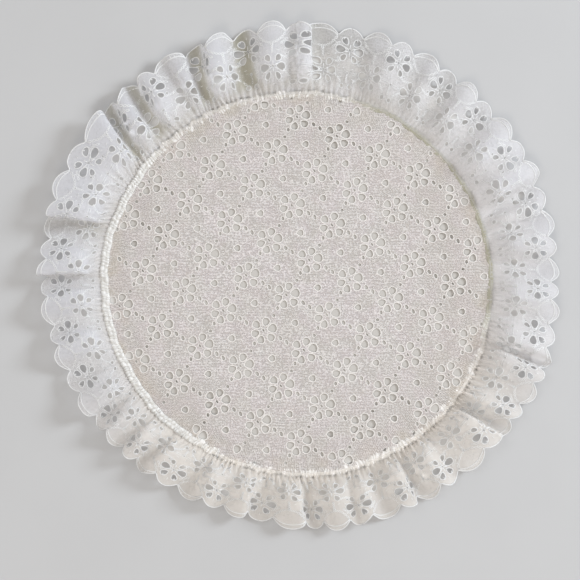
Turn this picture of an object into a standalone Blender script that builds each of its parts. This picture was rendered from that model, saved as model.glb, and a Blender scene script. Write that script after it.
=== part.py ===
"""Round lace doily: a disc of eyelet cloth with a gathered, scalloped eyelet ruffle sewn round it.

Three cut-and-sewn pieces, each one closed solid:
    centre_panel  the flat disc of eyelet cloth
    ruffle        the strip of scalloped lace, gathered to the disc and lying in its folds
    seam          the raised overlock seam that joins the two

The doily lies face up with its underside on Z = 0 and its origin under the middle of the disc.
Angles run anticlockwise from +X as seen from above.  On the lace strip, "along" runs round the doily
and "across" runs outwards, from the middle of the seam to the scalloped edge.  Lengths are in metres.
"""
import math
from collections import namedtuple

import bpy
import numpy as np
from mathutils.geometry import delaunay_2d_cdt

MM = 0.001

# --- Driving sizes -------------------------------------------------------------------------------
SEAM_RADIUS = 110.0 * MM        # middle of the seam, averaged round the doily
PANEL_THICKNESS = 1.1 * MM
RUFFLE_THICKNESS = 1.0 * MM
PIECE_GAP = 0.3 * MM            # clearance between neighbouring pieces
SEAM_WIDTH = 5.0 * MM
SEAM_HEIGHT = 2.2 * MM

REPEATS = 32                    # repeats of the lace pattern in the strip
REPEAT_LENGTH = 32.0 * MM
RUFFLE_WIDTH = 43.0 * MM        # from the seam's middle to the tip of the largest scallop
STRIP_LENGTH = REPEATS * REPEAT_LENGTH
HELD_FLAT = 2.9 * MM            # the strip's root, pressed flat under the seam
FOLD_RISE = 0.42                # share of the strip's width at which a fold reaches its full height
EDGE_FLARE = 0.64               # height left in a fold at the free edge
ARCH_SHARE = 0.50               # share of the spare width that stands up as an arch
VALLEY_ARCH = 0.30              # share of that arch found in the valleys between folds

# Seam outline: (waves round the doily, height of the wave, angle of its first crest in degrees).
SEAM_WAVES = ((1, 0.7 * MM, 150.0), (2, 0.9 * MM, 165.0), (3, 0.6 * MM, 60.0), (7, 0.25 * MM, 20.0))

# How far the free edge stands from the seam, and how high it is lifted, at angles round the doily.
Edge = namedtuple("Edge", "angle reach lift")
EDGES = (
    Edge(0, 39.5 * MM, 1.0 * MM),
    Edge(30, 42.0 * MM, 1.0 * MM),
    Edge(60, 43.0 * MM, 1.0 * MM),
    Edge(90, 43.0 * MM, 2.0 * MM),
    Edge(120, 41.5 * MM, 3.0 * MM),
    Edge(150, 40.5 * MM, 4.5 * MM),
    Edge(172, 37.5 * MM, 5.0 * MM),
    Edge(200, 34.5 * MM, 5.0 * MM),
    Edge(225, 31.5 * MM, 4.5 * MM),
    Edge(255, 30.0 * MM, 2.0 * MM),
    Edge(285, 33.5 * MM, 1.5 * MM),
    Edge(318, 35.5 * MM, 1.5 * MM),
    Edge(342, 40.5 * MM, 1.0 * MM),
)

# The ruffle's folds.  Each row is the valley where a fold begins, then the fold up to the next row:
#   seam_deg, edge_deg   where the valley lies at the seam and at the free edge
#   repeat               which repeat of the lace lies in the valley
#   floor, crest         heights of the valley and of the fold's crest
#   overhang             0 for an even fold, else the slope in degrees of its steep side:
#                        positive where the far side is steep, negative where the near side is
Fold = namedtuple("Fold", "seam_deg edge_deg repeat floor crest overhang")
FOLDS = (
    Fold(5.0, 3.0, -0.90, 0.5 * MM, 5.5 * MM, 0),
    Fold(14.0, 15.0, 0.17, 1.0 * MM, 3.5 * MM, 0),
    Fold(19.5, 22.0, 0.68, 0.0 * MM, 7.5 * MM, -65),
    Fold(30.0, 31.0, 1.48, 4.0 * MM, 7.5 * MM, 0),
    Fold(41.5, 43.0, 2.47, 0.5 * MM, 6.0 * MM, 0),
    Fold(52.5, 53.5, 3.45, 0.0 * MM, 5.0 * MM, 0),
    Fold(60.0, 61.0, 4.09, 2.0 * MM, 7.0 * MM, 0),
    Fold(74.5, 76.0, 5.33, 0.0 * MM, 1.0 * MM, 0),
    Fold(83.5, 86.0, 6.06, 0.0 * MM, 9.0 * MM, -100),
    Fold(92.5, 91.5, 6.60, 3.5 * MM, 8.5 * MM, 0),
    Fold(105.0, 103.4, 7.60, 0.0 * MM, 9.0 * MM, 75),
    Fold(117.5, 114.0, 8.57, 0.0 * MM, 7.0 * MM, 0),
    Fold(121.5, 122.5, 9.08, 3.5 * MM, 8.0 * MM, 75),
    Fold(133.5, 130.5, 9.85, 0.0 * MM, 7.5 * MM, 0),
    Fold(143.5, 137.5, 10.54, 0.0 * MM, 10.0 * MM, -95),
    Fold(152.0, 153.0, 11.60, 6.5 * MM, 10.5 * MM, 112),
    Fold(164.0, 166.5, 12.90, 0.0 * MM, 9.0 * MM, 112),
    Fold(178.5, 179.5, 14.30, 0.5 * MM, 7.5 * MM, 0),
    Fold(190.0, 191.0, 15.30, 2.5 * MM, 7.0 * MM, 0),
    Fold(203.0, 202.0, 16.33, 1.5 * MM, 7.5 * MM, 70),
    Fold(213.0, 215.0, 17.37, 1.0 * MM, 6.0 * MM, 0),
    Fold(221.5, 222.5, 18.17, 1.0 * MM, 7.0 * MM, 0),
    Fold(231.0, 229.0, 18.87, 0.0 * MM, 6.5 * MM, -70),
    Fold(241.5, 241.0, 19.85, 1.0 * MM, 6.5 * MM, 0),
    Fold(250.0, 250.5, 20.65, 3.0 * MM, 7.0 * MM, 85),
    Fold(259.5, 258.0, 21.37, 0.0 * MM, 6.5 * MM, 80),
    Fold(270.5, 273.0, 22.44, 0.0 * MM, 6.5 * MM, 0),
    Fold(284.5, 283.5, 23.46, 3.0 * MM, 6.5 * MM, 0),
    Fold(291.0, 290.0, 23.96, 1.0 * MM, 7.0 * MM, 80),
    Fold(299.5, 299.0, 24.78, 0.0 * MM, 6.5 * MM, 0),
    Fold(309.5, 308.5, 25.65, 2.5 * MM, 9.0 * MM, 108),
    Fold(321.0, 323.0, 26.90, 0.0 * MM, 5.5 * MM, 0),
    Fold(330.0, 331.0, 27.75, 1.5 * MM, 6.5 * MM, 75),
    Fold(342.5, 340.5, 28.85, 0.0 * MM, 7.5 * MM, -80),
    Fold(351.0, 351.0, 29.80, 2.5 * MM, 6.0 * MM, 0),
)
HIGHEST_CREST = max(fold.crest for fold in FOLDS)

# Scallops of the free edge: place in the repeat, half-width as a share of it, height, points cut.
Scallop = namedtuple("Scallop", "place half_width height points")
SCALLOPS = (Scallop(0.0, 0.285, 6.0 * MM, 6), Scallop(0.5, 0.215, 4.8 * MM, 4))
SCALLOP_FULLNESS = 2.2          # above 2 is rounder in the shoulders than a parabola

# Lace flowers: place in the repeat, distance from the seam.  Their two broad side petals are gaps
# of over 4 mm and are cut through: offset along the strip, length, width.
LACE_FLOWERS = ((0.0, 15.4 * MM), (0.5, 28.5 * MM))
Petal = namedtuple("Petal", "along across length width")
LACE_PETALS = (
    Petal(-5.4 * MM, 0.1 * MM, 5.4 * MM, 4.1 * MM),
    Petal(5.2 * MM, 0.1 * MM, 5.6 * MM, 4.0 * MM),
)
LACE_PETAL_SIDES = 7

# Panel flowers: the steps from one flower to its neighbours, the flower nearest the middle, and the
# one petal of each that is over 4 mm across and is cut through.
PANEL_STEP_A = (23.1 * MM, -11.4 * MM)
PANEL_STEP_B = (-13.1 * MM, -20.3 * MM)
PANEL_FIRST = (-7.7 * MM, -8.0 * MM)
PANEL_PETAL = Petal(5.0 * MM, 1.1 * MM, 4.8 * MM, 4.3 * MM)
PANEL_PETAL_SIDES = 8
PANEL_CLEAR_RIM = 4.5 * MM      # no petal is cut nearer the seam than this

# Meshing.
PANEL_RIM_POINTS = 120
PANEL_GRID = 13.0 * MM
RUFFLE_ROOT_POINTS = 224
RUFFLE_ROWS = (2.9 * MM, 7.5 * MM, 13.0 * MM, 21.0 * MM, 28.5 * MM, 35.0 * MM)
RUFFLE_STEP = 4.8 * MM
HOLE_MARGIN = 1.3 * MM          # free grid points keep this far from a cut petal
EDGE_MARGIN = 2.0 * MM          # and this far from the scalloped edge
DRAPE_COLUMNS = 40              # steps along each fold in the worked-out drape
DRAPE_ROWS = 44                 # steps across the strip
SEAM_POINTS = 144


# --- The seam's outline --------------------------------------------------------------------------
def seam_radius(angle):
    """Radius of the seam's middle at an angle in radians; the sewn circle is a little uneven."""
    radius = SEAM_RADIUS
    for waves, height, crest_deg in SEAM_WAVES:
        radius = radius + height * np.cos(waves * (angle - math.radians(crest_deg)))
    return radius


# --- The drape of the ruffle ---------------------------------------------------------------------
def side_curve(slope, steps):
    """One side of a fold, of length 1, from valley to crest: its points (run, rise).

    The cloth bends smoothly from level, to its steepest slope (radians) half way up, to level.
    """
    share = (np.arange(steps) + 0.5) / steps
    tilt = slope * np.sin(math.pi * share)
    run = np.concatenate(([0.0], np.cumsum(np.cos(tilt)) / steps))
    rise = np.concatenate(([0.0], np.cumsum(np.sin(tilt)) / steps))
    return run, rise


def slope_for_rise(wanted):
    """The slope whose side_curve rises by the wanted share of its length."""
    low, high = 0.0, math.radians(110)
    for _ in range(30):
        middle = 0.5 * (low + high)
        if side_curve(middle, 24)[1][-1] < wanted:
            low = middle
        else:
            high = middle
    return 0.5 * (low + high)


def fold_profile(length, climb, drop, overhang):
    """Cross-section of one fold: (cloth, run, height) arrays, cloth and run going from 0 to 1.

    length is the cloth in the fold, climb and drop its rise from the first valley and its fall to
    the next, and overhang the slope of the steep side, as in the table of folds.
    """
    if overhang == 0:
        first = length * climb / (climb + drop)
    else:
        steep = math.radians(abs(overhang))
        steep_rise = side_curve(steep, 24)[1][-1]
        first = climb / steep_rise if overhang < 0 else length - drop / steep_rise
    sides = ((first, climb), (length - first, drop))
    run, height = [np.zeros(1)], [np.zeros(1)]
    steps = DRAPE_COLUMNS // 2
    for index, (cloth, rise) in enumerate(sides):
        curve_run, curve_rise = side_curve(slope_for_rise(min(rise / cloth, 0.75)), steps)
        if overhang != 0 and (index == 0) == (overhang < 0):
            curve_run, curve_rise = side_curve(math.radians(abs(overhang)), steps)
        sign = 1.0 if index == 0 else -1.0
        run.append(run[-1][-1] + curve_run[1:] * cloth)
        height.append(height[-1][-1] + sign * curve_rise[1:] * rise / curve_rise[-1])
    run, height = np.concatenate(run), np.concatenate(height)
    share = np.arange(steps + 1) / steps
    cloth = np.concatenate((share * first, (first + share * (length - first))[1:])) / length
    return cloth, run / run[-1], height


def around(angle, table, column):
    """A column of the table of edges at an angle in degrees, eased smoothly between its rows."""
    knots = [row.angle for row in table]
    values = [getattr(row, column) for row in table]
    knots = [knots[-1] - 360.0] + knots + [knots[0] + 360.0]
    values = [values[-1]] + values + [values[0]]
    angle = np.mod(angle, 360.0)
    index = np.clip(np.searchsorted(knots, angle, side="right") - 1, 0, len(knots) - 2)
    knots, values = np.array(knots), np.array(values)
    share = (angle - knots[index]) / (knots[index + 1] - knots[index])
    ease = share * share * (3.0 - 2.0 * share)
    return values[index] + (values[index + 1] - values[index]) * ease


def rise_from_seam(share):
    """How much of a fold's height is reached at each share of the strip's width."""
    root = HELD_FLAT / RUFFLE_WIDTH
    inner = np.clip((share - root) / (FOLD_RISE - root), 0.0, 1.0)
    outer = np.clip((share - FOLD_RISE) / (1.0 - FOLD_RISE), 0.0, 1.0)
    return np.sin(0.5 * math.pi * inner) ** 1.2 * (1.0 - (1.0 - EDGE_FLARE) * outer ** 1.5)


def drape_table():
    """The ruffle's middle surface: (along, points), along in repeats, points[column, row] in space."""
    share = np.linspace(0.0, 1.0, DRAPE_ROWS + 1)
    envelope = rise_from_seam(share)
    alongs, columns = [], []
    for number, fold in enumerate(FOLDS):
        after = FOLDS[(number + 1) % len(FOLDS)]
        turn = 1 if number + 1 == len(FOLDS) else 0
        end_repeat = after.repeat + REPEATS * turn
        cloth, run, height = fold_profile((end_repeat - fold.repeat) * REPEAT_LENGTH,
                                          fold.crest - fold.floor, fold.crest - after.floor,
                                          fold.overhang)
        level = fold.floor + height
        crestness = np.sin(0.5 * math.pi * np.clip(level / HIGHEST_CREST, 0.0, 1.0))
        last = len(cloth) if turn else len(cloth) - 1
        for step in range(last):
            start_deg = fold.seam_deg + (fold.edge_deg - fold.seam_deg) * share
            end_deg = after.seam_deg + (after.edge_deg - after.seam_deg) * share + 360.0 * turn
            even = np.clip(envelope * 1.6, 0.0, 1.0)
            run_here = cloth[step] + (run[step] - cloth[step]) * even
            angle_deg = start_deg + (end_deg - start_deg) * run_here
            columns.append(place_on_doily(angle_deg, share, level[step] * envelope, crestness[step]))
            alongs.append(fold.repeat + (end_repeat - fold.repeat) * cloth[step])
    return np.array(alongs), np.array(columns)


def place_on_doily(angle_deg, share, level, crestness):
    """Points across the strip at the given angles, with the fold's own height and the arch added."""
    angle = np.radians(angle_deg)
    reach = around(angle_deg, EDGES, "reach")
    lift = around(angle_deg, EDGES, "lift")
    spare = np.clip(RUFFLE_WIDTH - reach, 0.0, None)
    bunch = 0.9 * spare / RUFFLE_WIDTH
    arch = ARCH_SHARE * (2.0 / math.pi) * np.sqrt(reach * spare)
    root = HELD_FLAT / RUFFLE_WIDTH
    beyond = np.clip((share - root) / (1.0 - root), 0.0, 1.0)
    out = np.minimum(share, root) * RUFFLE_WIDTH
    out = out + (reach - HELD_FLAT) * (beyond - bunch * beyond * (1.0 - beyond))
    radius = seam_radius(angle) + out
    lifted = lift * beyond ** 2 * (0.5 + 0.5 * crestness)
    arched = arch * np.sin(math.pi * beyond ** 0.8) * (VALLEY_ARCH + (1.0 - VALLEY_ARCH) * crestness)
    height = 0.5 * RUFFLE_THICKNESS + level + lifted + arched
    return np.stack((radius * np.cos(angle), radius * np.sin(angle), height), axis=-1)


def drape(along, across, table):
    """Points in space for places on the flat strip: along in repeats, across in metres."""
    alongs, points = table
    along = np.mod(along - alongs[0], REPEATS) + alongs[0]
    column = np.clip(np.searchsorted(alongs, along, side="right") - 1, 0, len(alongs) - 2)
    u = (along - alongs[column]) / (alongs[column + 1] - alongs[column])
    row_place = np.clip(across / RUFFLE_WIDTH, 0.0, 1.0) * DRAPE_ROWS
    row = np.clip(row_place.astype(int), 0, DRAPE_ROWS - 1)
    v = row_place - row
    u, v = u[:, None], v[:, None]
    near = points[column, row] * (1 - v) + points[column, row + 1] * v
    far = points[column + 1, row] * (1 - v) + points[column + 1, row + 1] * v
    return near * (1 - u) + far * u


# --- Flat patterns -------------------------------------------------------------------------------
def petal_loop(centre, petal, sides):
    """An oval petal's outline as points, about its flower's centre."""
    loop = []
    for corner in range(sides):
        angle = 2.0 * math.pi * corner / sides
        loop.append((centre[0] + petal.along + 0.5 * petal.length * math.cos(angle),
                     centre[1] + petal.across + 0.5 * petal.width * math.sin(angle)))
    return loop


def scallop_edge(along):
    """Width of the strip at a place along it, in repeats."""
    notch = RUFFLE_WIDTH - SCALLOPS[0].height
    for scallop in SCALLOPS:
        offset = abs((along - scallop.place + 0.5) % 1.0 - 0.5) / scallop.half_width
        if offset < 1.0:
            return notch + scallop.height * (1.0 - offset ** SCALLOP_FULLNESS)
    return notch


def cut_pattern(outline, holes, free_points):
    """Triangulate a flat pattern: (points, triangles), with the holes left open."""
    points = list(outline)
    loops = [list(range(len(outline)))]
    for hole in holes:
        loops.append(list(range(len(points), len(points) + len(hole))))
        points.extend(hole)
    points.extend(free_points)
    inside_with_holes = 2
    flat, _, faces, _, _, _ = delaunay_2d_cdt(points, [], loops, inside_with_holes, 1e-7)
    return np.array([tuple(point) for point in flat]), faces


def clear_of_holes(point, holes):
    """True where a free grid point is far enough from every cut petal."""
    for centre, petal in holes:
        across = (point[0] - centre[0] - petal.along) / (0.5 * petal.length + HOLE_MARGIN)
        along = (point[1] - centre[1] - petal.across) / (0.5 * petal.width + HOLE_MARGIN)
        if across * across + along * along < 1.0:
            return False
    return True


# --- Objects -------------------------------------------------------------------------------------
def cloth_material(name, colour, roughness):
    """A plain Principled material."""
    material = bpy.data.materials.new(name)
    material.use_nodes = True
    shader = material.node_tree.nodes["Principled BSDF"]
    shader.inputs["Base Color"].default_value = (*colour, 1.0)
    shader.inputs["Roughness"].default_value = roughness
    shader.inputs["Metallic"].default_value = 0.0
    material.diffuse_color = (*colour, 1.0)
    return material


def add_sheet(name, points, faces, thickness, offset, material, collection):
    """A sheet of cloth: an open surface given its thickness, downwards (-1), both ways (0) or up (1)."""
    mesh = bpy.data.meshes.new(name)
    mesh.from_pydata([tuple(point) for point in points], [], faces)
    mesh.update()
    mesh.materials.append(material)
    sheet = bpy.data.objects.new(name, mesh)
    collection.objects.link(sheet)
    shell = sheet.modifiers.new("cloth thickness", "SOLIDIFY")
    shell.thickness = thickness
    shell.offset = offset
    shell.use_even_offset = False
    return sheet


def make_centre_panel(collection, material):
    """The disc of eyelet cloth, flat on its underside and a little puckered towards the seam."""
    rim = []
    for index in range(PANEL_RIM_POINTS):
        angle = 2.0 * math.pi * index / PANEL_RIM_POINTS
        radius = float(seam_radius(angle)) - 0.5 * PIECE_GAP
        rim.append((radius * math.cos(angle), radius * math.sin(angle)))
    centres = []
    for i in range(-9, 10):
        for j in range(-9, 10):
            x = PANEL_FIRST[0] + i * PANEL_STEP_A[0] + j * PANEL_STEP_B[0]
            y = PANEL_FIRST[1] + i * PANEL_STEP_A[1] + j * PANEL_STEP_B[1]
            reach = math.hypot(x + PANEL_PETAL.along, y + PANEL_PETAL.across) + 0.5 * PANEL_PETAL.length
            if reach < SEAM_RADIUS - PANEL_CLEAR_RIM:
                centres.append((x, y))
    holes = [petal_loop(centre, PANEL_PETAL, PANEL_PETAL_SIDES) for centre in centres]
    cut = [(centre, PANEL_PETAL) for centre in centres]
    free = []
    count = int(SEAM_RADIUS / PANEL_GRID)
    for i in range(-count, count + 1):
        for j in range(-count, count + 1):
            point = ((i + 0.5 * (j % 2)) * PANEL_GRID, j * PANEL_GRID * 0.866)
            if math.hypot(*point) < SEAM_RADIUS - 6.0 * MM and clear_of_holes(point, cut):
                free.append(point)
    flat, faces = cut_pattern(rim, holes, free)
    angle = np.arctan2(flat[:, 1], flat[:, 0])
    radius = np.hypot(flat[:, 0], flat[:, 1])
    points = np.column_stack((flat, panel_height(radius, angle)))
    return add_sheet("centre_panel", points, faces, PANEL_THICKNESS, 1.0, material, collection)


def panel_height(radius, angle):
    """Height of the panel's underside: flat, but for low puckers drawn in from the seam."""
    outward = np.clip((radius - 0.62 * SEAM_RADIUS) / (0.2 * SEAM_RADIUS), 0.0, 1.0)
    inward = np.clip((0.965 * SEAM_RADIUS - radius) / (0.1 * SEAM_RADIUS), 0.0, 1.0)
    pucker = 0.5 + 0.3 * np.sin(5 * angle + 0.6) + 0.2 * np.sin(9 * angle + 2.0)
    return 0.9 * MM * outward * inward * pucker


def make_ruffle(collection, material):
    """The lace strip: cut flat with its scallops and its largest petals, then gathered and draped."""
    root = [STRIP_LENGTH * index / RUFFLE_ROOT_POINTS for index in range(RUFFLE_ROOT_POINTS + 1)]
    places = {0.0}
    for repeat in range(REPEATS):
        for scallop in SCALLOPS:
            for point in range(scallop.points):
                offset = scallop.half_width * (2.0 * point / scallop.points - 1.0)
                places.add((repeat + scallop.place + offset) % REPEATS)
    edge = sorted(places) + [float(REPEATS)]
    outline = [(along, 0.5 * PIECE_GAP) for along in root]
    outline += [(STRIP_LENGTH, across) for across in RUFFLE_ROWS]
    outline += [(along * REPEAT_LENGTH, scallop_edge(along)) for along in reversed(edge)]
    outline += [(0.0, across) for across in reversed(RUFFLE_ROWS)]
    cut = []
    for repeat in range(REPEATS + 1):
        for place, across in LACE_FLOWERS:
            for petal in LACE_PETALS:
                centre = ((repeat + place) * REPEAT_LENGTH, across)
                if 0.0 < centre[0] + petal.along < STRIP_LENGTH:
                    cut.append((centre, petal))
    holes = [petal_loop(centre, petal, LACE_PETAL_SIDES) for centre, petal in cut]
    free = []
    steps = int(STRIP_LENGTH / RUFFLE_STEP)
    for number, across in enumerate(RUFFLE_ROWS):
        for step in range(1, steps):
            along = (step + 0.25 * (number % 2)) * STRIP_LENGTH / steps
            inside = across < scallop_edge(along / REPEAT_LENGTH) - EDGE_MARGIN
            if inside and clear_of_holes((along, across), cut):
                free.append((along, across))
    flat, faces = cut_pattern(outline, holes, free)
    points = drape(flat[:, 0] / REPEAT_LENGTH, flat[:, 1], drape_table())
    joined, faces = join_ends(flat, points, faces)
    ruffle = add_sheet("ruffle", joined, faces, RUFFLE_THICKNESS, 0.0, material, collection)
    ruffle.data.shade_smooth()
    return ruffle


def join_ends(flat, points, faces):
    """Close the strip into a ring: the points at its far end become those at its near end."""
    first = {round(across / MM, 4): index for index, (along, across) in enumerate(flat) if along < 1e-6}
    swap = {index: first[round(across / MM, 4)] for index, (along, across) in enumerate(flat)
            if along > STRIP_LENGTH - 1e-6}
    keep = [index for index in range(len(flat)) if index not in swap]
    order = {old: new for new, old in enumerate(keep)}
    faces = [[order[swap.get(index, index)] for index in face] for face in faces]
    return points[keep], faces


def make_seam(collection, material):
    """The overlock seam: a flattened cord along the joint, resting on both pieces of cloth."""
    path = bpy.data.curves.new("seam", "CURVE")
    path.dimensions = "3D"
    path.bevel_depth = 0.5 * SEAM_WIDTH
    path.bevel_resolution = 1
    spline = path.splines.new("POLY")
    spline.points.add(SEAM_POINTS - 1)
    spline.use_cyclic_u = True
    for index, point in enumerate(spline.points):
        angle = 2.0 * math.pi * index / SEAM_POINTS
        radius = float(seam_radius(angle))
        point.co = (radius * math.cos(angle), radius * math.sin(angle), 0.0, 1.0)
        point.radius = 0.93 + 0.04 * math.sin(23 * angle) + 0.03 * math.sin(41 * angle + 1.0)
    path.materials.append(material)
    seam = bpy.data.objects.new("seam", path)
    flatten = SEAM_HEIGHT / SEAM_WIDTH
    seam.scale = (1.0, 1.0, flatten)
    seam.location = (0.0, 0.0, PANEL_THICKNESS + PIECE_GAP + 0.5 * SEAM_HEIGHT)
    collection.objects.link(seam)
    return seam


def main():
    for item in list(bpy.data.objects):
        bpy.data.objects.remove(item, do_unlink=True)
    doily = bpy.data.collections.new("lace_doily")
    bpy.context.scene.collection.children.link(doily)
    cream = cloth_material("cream eyelet cloth", (0.80, 0.76, 0.72), 0.85)
    white = cloth_material("white eyelet lace", (0.86, 0.85, 0.83), 0.8)
    thread = cloth_material("overlock thread", (0.88, 0.86, 0.84), 0.7)
    make_centre_panel(doily, cream)
    make_ruffle(doily, white)
    make_seam(doily, thread)


main()
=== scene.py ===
"""Looks of the round lace doily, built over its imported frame.

The disc of eyelet cloth, the gathered eyelet ruffle and the seam between them each get a thin, finely
meshed piece in the place of their plain solid, with every eyelet cut and its stitched rim added.
The flat patterns are charted in millimetres: "along" runs round the doily on the lace strip and
"across" runs outwards from the seam.  Positions in space are in metres, in the frame's own axes.
"""

import math
from collections import namedtuple

import bpy
import numpy as np
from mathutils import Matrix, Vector
from mathutils.geometry import delaunay_2d_cdt


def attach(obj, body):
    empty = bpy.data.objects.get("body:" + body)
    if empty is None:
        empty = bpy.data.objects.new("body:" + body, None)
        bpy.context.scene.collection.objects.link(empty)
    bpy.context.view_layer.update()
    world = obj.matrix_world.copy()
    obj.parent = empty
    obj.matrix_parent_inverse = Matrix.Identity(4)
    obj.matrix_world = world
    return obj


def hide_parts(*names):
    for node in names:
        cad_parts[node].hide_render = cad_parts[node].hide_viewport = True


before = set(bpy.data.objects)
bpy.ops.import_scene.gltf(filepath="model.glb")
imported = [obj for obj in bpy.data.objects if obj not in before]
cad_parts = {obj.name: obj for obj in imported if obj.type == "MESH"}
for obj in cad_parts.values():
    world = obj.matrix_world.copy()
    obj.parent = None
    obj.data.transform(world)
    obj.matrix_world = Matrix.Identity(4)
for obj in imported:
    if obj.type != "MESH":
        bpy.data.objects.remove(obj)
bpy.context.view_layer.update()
MM = 0.001
TURN = 2.0 * math.pi            # a full turn

# ---- Sizes of the solids, in metres: the drape is the same as theirs ----
SEAM_RADIUS = 110.0 * MM
RUFFLE_THICKNESS = 1.0 * MM
REPEATS = 32
REPEAT_LENGTH = 32.0 * MM
RUFFLE_WIDTH = 43.0 * MM
HELD_FLAT = 2.9 * MM            # the ruffle lies flat this far out from the seam
FOLD_RISE = 0.42                # share of the strip's width where a fold has its full height
EDGE_FLARE = 0.64               # share of that height that is left at the free edge
ARCH_SHARE = 0.50               # how much of the strip's spare width stands up as an arch
VALLEY_ARCH = 0.30              # share of that arch in the valleys
SEAM_WAVES = ((1, 0.7 * MM, 150.0), (2, 0.9 * MM, 165.0), (3, 0.6 * MM, 60.0), (7, 0.25 * MM, 20.0))

# How far the free edge lies out from the seam and how high it is held up, in mm, at an angle.
Edge = namedtuple("Edge", "angle reach lift")
EDGES = tuple(Edge(*row) for row in (
    (0, 39.5, 1.0),
    (30, 42.0, 1.0),
    (60, 43.0, 1.0),
    (90, 43.0, 2.0),
    (120, 41.5, 3.0),
    (150, 40.5, 4.5),
    (172, 37.5, 5.0),
    (200, 34.5, 5.0),
    (225, 31.5, 4.5),
    (255, 30.0, 2.0),
    (285, 33.5, 1.5),
    (318, 35.5, 1.5),
    (342, 40.5, 1.0),
))

# Each row is the valley where a fold begins, at the seam and at the edge, with the repeat of the lace
# that lies there and its height; then the crest of the fold up to the next row, and how far it leans
# over, in degrees.  Heights are in mm.
Fold = namedtuple("Fold", "seam_deg edge_deg repeat floor crest overhang")
FOLDS = tuple(Fold(*row) for row in (
    (5.0, 3.0, -0.90, 0.5, 5.5, 0),
    (14.0, 15.0, 0.17, 1.0, 3.5, 0),
    (19.5, 22.0, 0.68, 0.0, 7.5, -65),
    (30.0, 31.0, 1.48, 4.0, 7.5, 0),
    (41.5, 43.0, 2.47, 0.5, 6.0, 0),
    (52.5, 53.5, 3.45, 0.0, 5.0, 0),
    (60.0, 61.0, 4.09, 2.0, 7.0, 0),
    (74.5, 76.0, 5.33, 0.0, 1.0, 0),
    (83.5, 86.0, 6.06, 0.0, 9.0, -100),
    (92.5, 91.5, 6.60, 3.5, 8.5, 0),
    (105.0, 103.4, 7.60, 0.0, 9.0, 75),
    (117.5, 114.0, 8.57, 0.0, 7.0, 0),
    (121.5, 122.5, 9.08, 3.5, 8.0, 75),
    (133.5, 130.5, 9.85, 0.0, 7.5, 0),
    (143.5, 137.5, 10.54, 0.0, 10.0, -95),
    (152.0, 153.0, 11.60, 6.5, 10.5, 112),
    (164.0, 166.5, 12.90, 0.0, 9.0, 112),
    (178.5, 179.5, 14.30, 0.5, 7.5, 0),
    (190.0, 191.0, 15.30, 2.5, 7.0, 0),
    (203.0, 202.0, 16.33, 1.5, 7.5, 70),
    (213.0, 215.0, 17.37, 1.0, 6.0, 0),
    (221.5, 222.5, 18.17, 1.0, 7.0, 0),
    (231.0, 229.0, 18.87, 0.0, 6.5, -70),
    (241.5, 241.0, 19.85, 1.0, 6.5, 0),
    (250.0, 250.5, 20.65, 3.0, 7.0, 85),
    (259.5, 258.0, 21.37, 0.0, 6.5, 80),
    (270.5, 273.0, 22.44, 0.0, 6.5, 0),
    (284.5, 283.5, 23.46, 3.0, 6.5, 0),
    (291.0, 290.0, 23.96, 1.0, 7.0, 80),
    (299.5, 299.0, 24.78, 0.0, 6.5, 0),
    (309.5, 308.5, 25.65, 2.5, 9.0, 108),
    (321.0, 323.0, 26.90, 0.0, 5.5, 0),
    (330.0, 331.0, 27.75, 1.5, 6.5, 75),
    (342.5, 340.5, 28.85, 0.0, 7.5, -80),
    (351.0, 351.0, 29.80, 2.5, 6.0, 0),
))
HIGHEST_CREST = max(fold.crest for fold in FOLDS) * MM

Scallop = namedtuple("Scallop", "place half_width height")
SCALLOPS = (Scallop(0.0, 0.285, 6.0), Scallop(0.5, 0.215, 4.8))
SCALLOP_FULLNESS = 2.2

# ---- The lace chart, in millimetres ----
REPEAT = REPEAT_LENGTH / MM
WIDTH = RUFFLE_WIDTH / MM
NOTCH = WIDTH - SCALLOPS[0].height

# An eyelet: its middle, its length and width, and the turn in degrees of its broad end.
Eyelet = namedtuple("Eyelet", "along across length width turn")
LACE_FLOWER = tuple(Eyelet(*row) for row in (
    (-5.4, 0.1, 5.7, 4.4, 180),
    (5.3, 0.1, 5.8, 4.3, 0),
    (2.9, 5.1, 4.4, 3.2, 60),
    (-3.7, 5.0, 4.5, 3.4, 127),
    (3.5, -4.5, 4.4, 2.9, -52),
    (-3.1, -4.8, 4.0, 3.0, -123),
    (0.0, 0.2, 1.9, 1.1, 65),
))
LACE_FLOWERS = ((16.0, 28.5), (32.0, 15.4))     # one above the plain scallop, one above the large
LACE_DOTS = tuple(Eyelet(*row) for row in (
    (13.1, 7.4, 2.8, 2.4, 0),
    (18.9, 7.4, 2.8, 2.4, 0),
    (16.0, 15.2, 1.6, 1.4, 0),
    (9.4, 23.0, 1.5, 1.2, 90),
    (22.6, 23.0, 1.5, 1.2, 90),
    (32.0, 28.6, 1.5, 1.3, 0),
))
# Eyelets by size: one that is longer than "over" has an outline of so many points, is broader by the
# taper at its outer end, and has that share of the full stitched rim.
Grade = namedtuple("Grade", "over points taper rim")
GRADES = (Grade(3.0, 16, 0.30, 1.0), Grade(2.2, 12, 0.0, 0.9), Grade(0.0, 8, 0.0, 0.75))
WEB_DEGREES = (30, 93, 153, 207, 268, 334)      # threads that part the petals of a lace flower
WEB_FROM, WEB_TO = 1.0, 3.7
HATCH_STITCHES = 13             # across the double edge of a large scallop

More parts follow.
